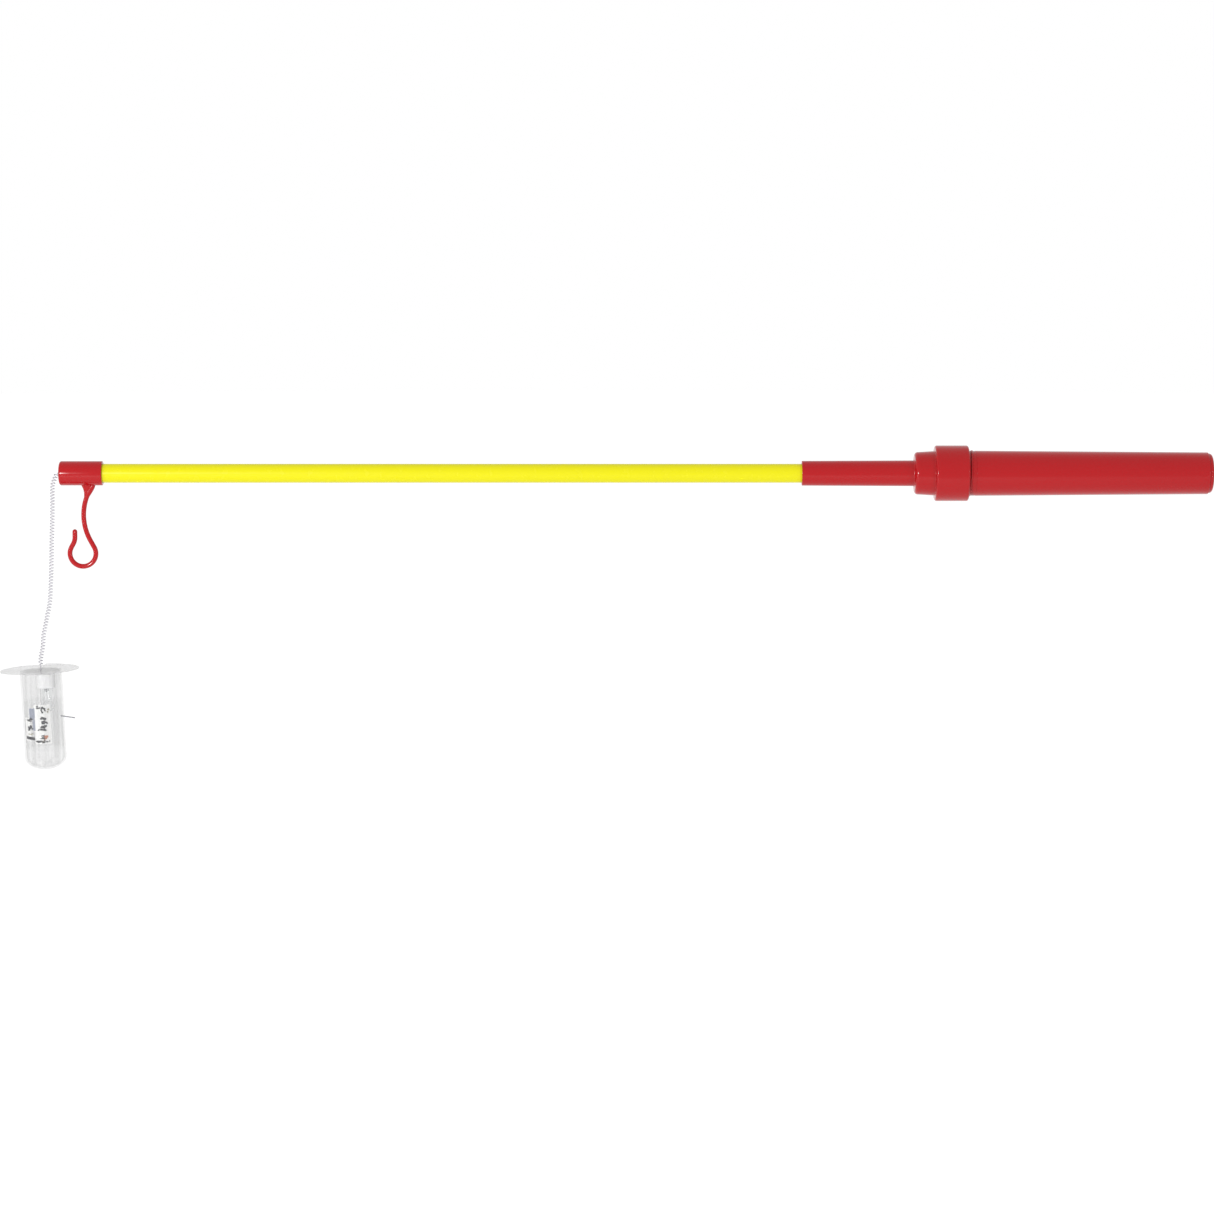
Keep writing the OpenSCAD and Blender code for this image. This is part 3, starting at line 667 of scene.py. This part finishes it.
ROD_FRONT = CAP_FRONT + 5.3
ROD_REAR = BOWL_FRONT - 6.65
rod = join("rod_tube_smooth", [turned(
    [(ROD_BORE_R, ROD_FRONT), (ROD_R - 0.085, ROD_FRONT), (ROD_R, ROD_FRONT + 0.1),
     (ROD_R, ROD_REAR - 0.1), (ROD_R - 0.085, ROD_REAR), (ROD_BORE_R, ROD_REAR)],
    segments=96)])
finish_piece(rod, YELLOW, "stick", ["rod_tube"])

# ---- lamp ----------------------------------------------------------------------------------

DISC_R = 17.3
DISC_DX = -0.5
DISC_HALF = 0.16
DISC_RIM_SHARE = 0.4


def disc_shell():
    """A thin disc with a slit from its back rim to its hole. The lobe on one side of the slit
    rises a little over the other, and the whole disc bows slightly."""
    rings, segments, hole, rim = 26, 144, 0.6, DISC_R
    slit = math.radians(0.6)
    top, verts = [], []

    def height(r, a):
        far = r / rim
        turn = a / (2 * math.pi)
        lobes = smooth_step((turn - 0.88) / 0.12) - smooth_step((0.12 - turn) / 0.12)
        lift = 0.24 * far ** 1.5 * lobes
        return 0.06 * far * far * math.cos(2 * a + 0.6) + lift

    def layer(offset):
        start = len(verts)
        for i in range(rings + 1):
            r = hole + (rim - hole) * i / rings
            share = DISC_RIM_SHARE if i == rings else 1
            for k in range(segments + 1):
                a = slit + (2 * math.pi - 2 * slit) * k / segments
                around = math.pi / 2 + a
                x = r * math.cos(around) + DISC_DX * r / rim
                y = r * math.sin(around)
                z = height(r, a) + offset * share
                verts.append(LAMP @ (Vector((x, y, z)) * MM))
        return start

    upper = layer(DISC_HALF)
    lower = layer(-DISC_HALF)
    row = segments + 1
    faces = []
    for i in range(rings):
        for k in range(segments):
            a = i * row + k
            b = (i + 1) * row + k
            faces.append((upper + a, upper + b, upper + b + 1, upper + a + 1))
            faces.append((lower + a, lower + a + 1, lower + b + 1, lower + b))
    for k in range(segments):
        faces.append((upper + k, upper + k + 1, lower + k + 1, lower + k))
        rim_at = rings * row + k
        faces.append((upper + rim_at, lower + rim_at, lower + rim_at + 1, upper + rim_at + 1))
    for i in range(rings):
        for k in (0, segments):
            a, b = i * row + k, (i + 1) * row + k
            faces.append((upper + a, lower + a, lower + b, upper + b))
    return verts, faces


disc = join("slit_disc_sheet", [disc_shell()])
finish_piece(disc, DISC, "lamp", ["slit_disc"])

COVER_TOP = -0.45
COVER_LOW = -44.15
COVER_MOUTH_R = 9.2
COVER_FOOT_R = 9.05
WALL = 0.8
DOME_DEPTH = 5.6
RIM = COVER_LOW + DOME_DEPTH


def dome(r, depth, z, n=24):
    """A half ellipse from the rim at z down to the pole."""
    angles = [math.pi / 2 * i / n for i in range(n)]
    return [(r * math.cos(a), z - depth * math.sin(a)) for a in angles] + [(0, z - depth)]


def cover_outline():
    """The vial's outside with four faint rings under its mouth, then its inside."""
    outside = [(COVER_MOUTH_R - 0.15, COVER_TOP), (COVER_MOUTH_R, COVER_TOP - 0.15)]
    for k in range(4):
        z = COVER_TOP - 2.2 - 1.5 * k
        outside += [(COVER_MOUTH_R, z + 0.35), (COVER_MOUTH_R + 0.05, z + 0.12),
                    (COVER_MOUTH_R + 0.05, z - 0.12), (COVER_MOUTH_R, z - 0.35)]
    outside += dome(COVER_FOOT_R, DOME_DEPTH, RIM)
    inside = dome(COVER_FOOT_R - WALL, DOME_DEPTH - WALL, RIM)[::-1]
    mouth_r = COVER_MOUTH_R - WALL
    return outside + inside + [(mouth_r, COVER_TOP - 0.2), (mouth_r + 0.15, COVER_TOP)]


cover = join("lamp_vial", [turned(cover_outline(), LAMP)])
finish_piece(cover, CLEAR, "cover", ["lamp_cover"])

FILM_R = 8.05
FILM_TOP = -13.3
FILM_LOW = -35.0
FILM_HALF = 0.06
FILM_SWEEP = math.radians(356)


def film_shell():
    """A thin sheet rolled into a tube, its ends nearly meeting at the back."""
    segments, rows = 120, 6
    verts = []
    for r_off in (FILM_HALF, -FILM_HALF):
        for j in range(rows + 1):
            z = FILM_TOP + (FILM_LOW - FILM_TOP) * j / rows
            for k in range(segments + 1):
                t = k / segments
                a = math.pi / 2 + FILM_SWEEP * (t - 0.5) + math.pi
                r = FILM_R + r_off
                verts.append(LAMP @ (Vector((r * math.cos(a), r * math.sin(a), z)) * MM))
    row = segments + 1
    back = (rows + 1) * row
    faces = []
    for j in range(rows):
        for k in range(segments):
            a, b = j * row + k, (j + 1) * row + k
            faces.append((a, a + 1, b + 1, b))
            faces.append((back + a, back + b, back + b + 1, back + a + 1))
    for k in range(segments):
        top, low = k, rows * row + k
        faces.append((top, back + top, back + top + 1, top + 1))
        faces.append((low, low + 1, back + low + 1, back + low))
    for j in range(rows):
        for k in (0, segments):
            a, b = j * row + k, (j + 1) * row + k
            faces.append((a, b, back + b, back + a))
    return verts, faces


film = join("printed_film_sheet", [film_shell()])
finish_piece(film, FILM, "cover", ["label_liner"])


# The inks lie over the film's middle radius: the ground lowest, then every other mark
GROUND_SKIN = (0.062, 0.064)
INK_SKIN = (0.065, 0.1)
ARC_MM = FILM_R * math.pi / 180


def patch(corners, skin=INK_SKIN):
    """A flat mark from (angle, z) corners: a thin skin on the film's outer face."""
    n = len(corners)
    verts, faces = [], []
    for lift in skin:
        r = FILM_R + lift
        for angle, z in corners:
            a = math.radians(angle - 90)
            verts.append(LAMP @ (Vector((r * math.cos(a), r * math.sin(a), z)) * MM))
    faces.append(tuple(range(n)))
    faces.append(tuple(range(n, 2 * n))[::-1])
    for k in range(n):
        m = (k + 1) % n
        faces.append((k, m, n + m, n + k))
    return verts, faces


def block(angle0, angle1, z0, z1, rng, rough, skin=INK_SKIN):
    """A mark with rough edges between two angles and two heights, in upright strips that follow
    the curve."""
    count = max(1, round(abs(angle1 - angle0) / 6))
    edges = [(z0 + rng.uniform(-rough, rough), z1 + rng.uniform(-rough, rough))
             for _ in range(count + 1)]
    made = []
    for i in range(count):
        a0 = angle0 + (angle1 - angle0) * i / count
        a1 = angle0 + (angle1 - angle0) * (i + 1) / count
        (top0, low0), (top1, low1) = edges[i], edges[i + 1]
        made.append(patch([(a0, top0), (a1, top1), (a1, low1), (a0, low0)], skin))
    return made


def stroke(points, width):
    """A brush stroke along (angle, z) points, thin at both ends."""
    last = len(points) - 1
    left, right = [], []
    for i, (angle, z) in enumerate(points):
        a, b = points[max(i - 1, 0)], points[min(i + 1, last)]
        way = Vector(((b[0] - a[0]) * ARC_MM, b[1] - a[1])).normalized()
        half = width * (0.9 + 0.6 * math.sin(math.pi * (i + 0.5) / (last + 1)))
        left.append((angle - way.y * half / ARC_MM, z + way.x * half))
        right.append((angle + way.y * half / ARC_MM, z - way.x * half))
    return [patch([left[i], left[i + 1], right[i + 1], right[i]]) for i in range(last)]


# Areas of the print filled with random strokes: two angles, two heights, how many, about the
# half width
DARK_AREAS = [
    (-14, 2, -14.9, -16.6, 3, 0.32), (3, 19, -15.4, -18.4, 5, 0.26),
    (-1, 18, -20.0, -21.3, 5, 0.34), (1, 20, -21.6, -23.2, 5, 0.26),
    (-4, 19, -23.5, -26.3, 8, 0.3), (-11, -4, -25.0, -26.2, 2, 0.24),
    (-2, 10, -26.9, -28.3, 3, 0.16), (-52, -23, -20.4, -22.0, 5, 0.24),
    (-50, -27, -23.2, -26.5, 7, 0.24), (-80, -72, -21.0, -27.4, 4, 0.14),
    (-10, 21, -28.7, -29.6, 5, 0.2), (-19, 30, -30.4, -31.0, 9, 0.24),
]
MOSS_AREAS = [
    (20, 28, -16.6, -18.0, 4, 0.24), (-51, -25, -27.1, -27.7, 4, 0.1),
    (4, 14, -30.5, -31.0, 2, 0.24),
]
ORANGE_AREAS = [(6, 21, -28.3, -30.1, 5, 0.22)]


def scribble(rng, areas):
    """Random bent strokes spread over each area."""
    made = []
    for a0, a1, z0, z1, count, width in areas:
        for _ in range(count):
            start = (rng.uniform(a0, a1), rng.uniform(z1, z0))
            end = (rng.uniform(a0, a1), rng.uniform(z1, z0))
            middle = ((start[0] + end[0]) / 2 + rng.uniform(-3, 3),
                      (start[1] + end[1]) / 2 + rng.uniform(-0.3, 0.3))
            made += stroke([start, middle, end], width * rng.uniform(0.7, 1.15))
    return made


def print_marks():
    """An abstract print: a pale ground, slate blocks, a bar and random strokes."""
    rng = random.Random(11)
    ground = block(-19.5, 31, -14.5, -31.8, rng, 0.2, GROUND_SKIN)
    ground += block(-66, -38.5, -20.2, -30.4, rng, 0.3, GROUND_SKIN)
    slate = block(-38, -17.5, -16.1, -20.6, rng, 0.2) + block(-27, -18, -20.6, -25.8, rng, 0.25)
    dark = []
    bar_angle, bar_z, bar_step, bar_fall, bar_height = -62, -28.4, 5.8, 0.06, 1.3
    for k in range(7):
        a0, a1 = bar_angle + bar_step * k, bar_angle + bar_step * (k + 1)
        z0, z1 = bar_z - bar_fall * k, bar_z - bar_fall * (k + 1)
        dark.append(patch([(a0, z0), (a1, z1), (a1, z1 - bar_height), (a0, z0 - bar_height)]))
    dark += scribble(rng, DARK_AREAS)
    return ground, slate, dark, scribble(rng, MOSS_AREAS), scribble(rng, ORANGE_AREAS)


PRINT_NAMES = ("film_print_ground", "film_print_slate", "film_print", "film_print_moss",
               "film_print_dots")
PRINT_INKS = (INK_WHITE, INK_SLATE, INK, INK_MOSS, INK_ORANGE)
for name, shells, ink in zip(PRINT_NAMES, print_marks(), PRINT_INKS):
    finish_piece(join(name, shells, 60), ink, "cover")

PIN_IN = Vector((7.4, 0, -20.75))
PIN_FALL = math.radians(10.6)
PIN_LENGTH = 6.5
PIN_R = 0.24
PIN_STEPS = 8


def pin_points():
    """The pin from inside the vial outwards, bowed by a hair."""
    way = Vector((math.cos(PIN_FALL), 0, -math.sin(PIN_FALL)))
    points = []
    for k in range(PIN_STEPS + 1):
        bow = Vector((0, 0.04 * math.sin(k / PIN_STEPS * math.pi), 0))
        points.append(PIN_IN + way * (0.2 + (PIN_LENGTH - 0.4) * k / PIN_STEPS) + bow)
    return points


pin = join("steel_pin", [wire(pin_points(), PIN_R, 16, LAMP)])
finish_piece(pin, PIN_STEEL, "cover", ["lock_pin"])

# ---- bulb ----------------------------------------------------------------------------------


def coil(x0, x1, r0, r1, turns, place, wire_r, steps=20, sides=10):
    """A coiled wire about the place's Z axis, from x0 to x1 along it and r0 to r1 in radius."""
    count = int(turns * steps)
    points = []
    for i in range(count + 1):
        t = i / count
        r = r0 + (r1 - r0) * t
        a = 2 * math.pi * turns * t
        points.append((r * math.cos(a), r * math.sin(a), x0 + (x1 - x0) * t))
    return wire(points, wire_r, sides, place)


SHELL_TOP = -4.05
SHELL_LOW = -7.4
SHELL_R = 2.48
SHELL_WALL = 0.16
SHELL_RIDGE = 0.2
GLASS_R = 2.9
GLASS_IN_R = 2.6
GLASS_LOW = -19


def rolled_shell():
    """The bulb's thin shell with its thread, of 1 mm pitch, rolled in as a helical wave."""
    segments, rows = 72, 60
    verts, faces = [], []
    for wall in (0.0, -SHELL_WALL):
        for j in range(rows + 1):
            z = SHELL_TOP + (SHELL_LOW - SHELL_TOP) * j / rows
            edge = min(smooth_step((SHELL_TOP - z) / 0.5), smooth_step((z - SHELL_LOW) / 0.5))
            for k in range(segments):
                a = 2 * math.pi * k / segments
                wave = 0.5 - 0.5 * math.cos(2 * math.pi * (z + a / (2 * math.pi)))
                r = SHELL_R + SHELL_RIDGE * wave * edge + wall
                verts.append(BULB @ (Vector((r * math.cos(a), r * math.sin(a), z)) * MM))
    back = (rows + 1) * segments
    for j in range(rows):
        for k in range(segments):
            m = (k + 1) % segments
            a, b = j * segments, (j + 1) * segments
            faces.append((a + k, a + m, b + m, b + k))
            faces.append((back + a + k, back + b + k, back + b + m, back + a + m))
    for k in range(segments):
        m = (k + 1) % segments
        low_row = rows * segments
        faces.append((k, back + k, back + m, m))
        faces.append((low_row + k, low_row + m, back + low_row + m, back + low_row + k))
    return verts, faces


end_ring = turned([(1.6, SHELL_TOP), (2.4, SHELL_TOP), (2.4, -4.2), (1.6, -4.2)], BULB, 64)
shell = join("bulb_screw_shell", [rolled_shell(), end_ring])
finish_piece(shell, TINNED, "bulb", ["bulb_shell"])


def bulb_outline():
    """The glass from the neck's top down the outside to its tip, then up the inside."""
    tip_z = GLASS_LOW + GLASS_R
    outside = [(2.2, -6.2), (2.2, -7.35), (2.55, -7.45), (2.8, -7.7), (GLASS_R, -8.2)]
    outside += arc(0, tip_z, GLASS_R, 0, -90, 10)[:-1] + [(0, GLASS_LOW)]
    inside = [(0, GLASS_LOW + 0.3)] + arc(0, tip_z, GLASS_IN_R, -90, 0, 10)[1:]
    inside += [(GLASS_IN_R, -8.3), (2.45, -7.8), (1.9, -7.6), (1.9, -6.2)]
    return outside + inside


glass = join("bulb_envelope", [turned(bulb_outline(), BULB, 72)])
finish_piece(glass, GLASS, "bulb", ["bulb_glass"])

bead = join("bulb_glass_bead", [turned(
    [(0, -10)] + [(1.05 * math.cos(math.radians(a)), -8.9 + 1.1 * math.sin(math.radians(a)))
                  for a in range(-80, 81, 10)] + [(0, -7.8)], BULB, 40)])
finish_piece(bead, BEAD, "bulb", ["bulb_bead"])

FILAMENT_Z = -13.2
FILAMENT_HALF = 0.6
posts = join("filament_wires", [
    wire([(side * 0.55, 0, -6.4), (side * 0.55, 0, -9.0), (side * 0.55, 0, -10.2),
          (side * 0.7, 0, -11.6), (side * FILAMENT_HALF, 0, FILAMENT_Z)], 0.12, 8, BULB)
    for side in (-1, 1)])
finish_piece(posts, FINE_WIRE, "bulb", ["filament_posts"])

across = (BULB @ Matrix.Translation((0, 0, FILAMENT_Z * MM))
          @ Matrix.Rotation(math.radians(90), 4, "Y"))
filament = join("filament_coil", [
    coil(-FILAMENT_HALF, FILAMENT_HALF, 0.11, 0.11, 12, across, 0.03, 10, 6)])
finish_piece(filament, FINE_WIRE, "bulb", ["filament"])

tip_contact = join("bulb_solder_tip", [turned(
    [(0, -3.48), (0.35, -3.49), (0.7, -3.57), (0.95, -3.7), (1.0, -3.74), (0, -3.74)], BULB, 40)])
finish_piece(tip_contact, TINNED, "bulb", ["bulb_tip"])

# ---- springs -------------------------------------------------------------------------------

battery_spring = join("battery_coil_spring", [coil(36.6, 43.85, 3.8, 5.6, 5.5, STICK, 0.33)])
battery_spring.data.materials.append(STEEL)
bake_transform(battery_spring)
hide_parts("battery_spring")

contact_spring = join("contact_coil_spring", [coil(-3.1, -2.7, 0.9, 0.9, 2.5, BULB, 0.09, 16, 8)])
contact_spring.data.materials.append(STEEL)
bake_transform(contact_spring)
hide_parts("contact_spring")

# ---- carried-over CAD nodes ----------------------------------------------------------------

FINISHES = {
    "bulb_holder": HOLDER, "cord_root": SHEATH, "cord_gland": MILKY, "contact_carrier": MILKY,
    "spring_plate": STEEL, "contact_strip": STEEL, "ring_contact": STEEL, "socket_shell": TINNED,
    "front_cell_can": STEEL, "rear_cell_can": STEEL,
    "front_cell_terminal": STEEL, "rear_cell_terminal": STEEL,
    "front_cell_core": POWDER, "rear_cell_core": POWDER,
    "front_cell_sleeve": WRAP, "rear_cell_sleeve": WRAP,
    "centre_contact": BRASS, "contact_button": TINNED, "socket_leads": TINNED,
    "positive_lead": RED_LEAD, "negative_lead": BLACK_LEAD, "bulb_insulator": BLACK,
}
for node, material in FINISHES.items():
    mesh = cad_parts[node].data
    mesh.materials.clear()
    mesh.materials.append(material)

# ---- floor and light -----------------------------------------------------------------------

FLOOR_Z = -0.42
FLOOR_R = 8.0


def make_floor():
    """A pale matt floor, as bright as the surroundings so that no horizon shows."""
    m = Nodes("floor")
    drift = m.blend(m.noise(0.6, 2), (0.93, 0.93, 0.93), (0.95, 0.95, 0.95))
    m.link(drift, m.shader.inputs["Base Color"])
    m.set(Roughness=0.9, Specular_IOR_Level=0.0, Emission_Color=(1, 1, 1, 1),
          Emission_Strength=0.12)
    rim = FLOOR_R / MM
    verts, faces = turned([(0, 0), (rim, 0), (rim, -20), (0, -20)],
                          Matrix.Translation((-0.2, 0, FLOOR_Z)), 96)
    floor = make_object("floor", verts, faces)
    floor.data.materials.append(m.material)


def make_world():
    """Even white surroundings."""
    world = bpy.data.worlds.new("studio")
    bpy.context.scene.world = world
    world.use_nodes = True
    background = world.node_tree.nodes["Background"]
    background.inputs["Color"].default_value = (1, 1, 1, 1)
    background.inputs["Strength"].default_value = 1.0


def make_light(name, at, aim, size, power):
    """A rectangular lamp of the given power in watts, facing `aim`."""
    data = bpy.data.lights.new(name, "AREA")
    data.shape = "RECTANGLE"
    data.size, data.size_y = size
    data.energy = power
    light = bpy.data.objects.new(name, data)
    bpy.context.scene.collection.objects.link(light)
    light.location = at
    light.rotation_euler = (Vector(aim) - Vector(at)).to_track_quat("-Z", "Y").to_euler()


make_floor()
make_world()
make_light("front_lamp", (-0.87, -1.38, 0.113), (-0.25, 0, 0), (0.05, 0.04), 14)
make_light("left_strip", (-1.7, -1.1, 0.0), (-0.45, 0, -0.06), (0.04, 1.0), 4)
make_light("right_strip", (1.1, -1.5, 0.0), (-0.45, 0, -0.06), (0.04, 1.0), 4)

scene = bpy.context.scene
scene.view_settings.view_transform = "Standard"
scene.view_settings.look = "None"
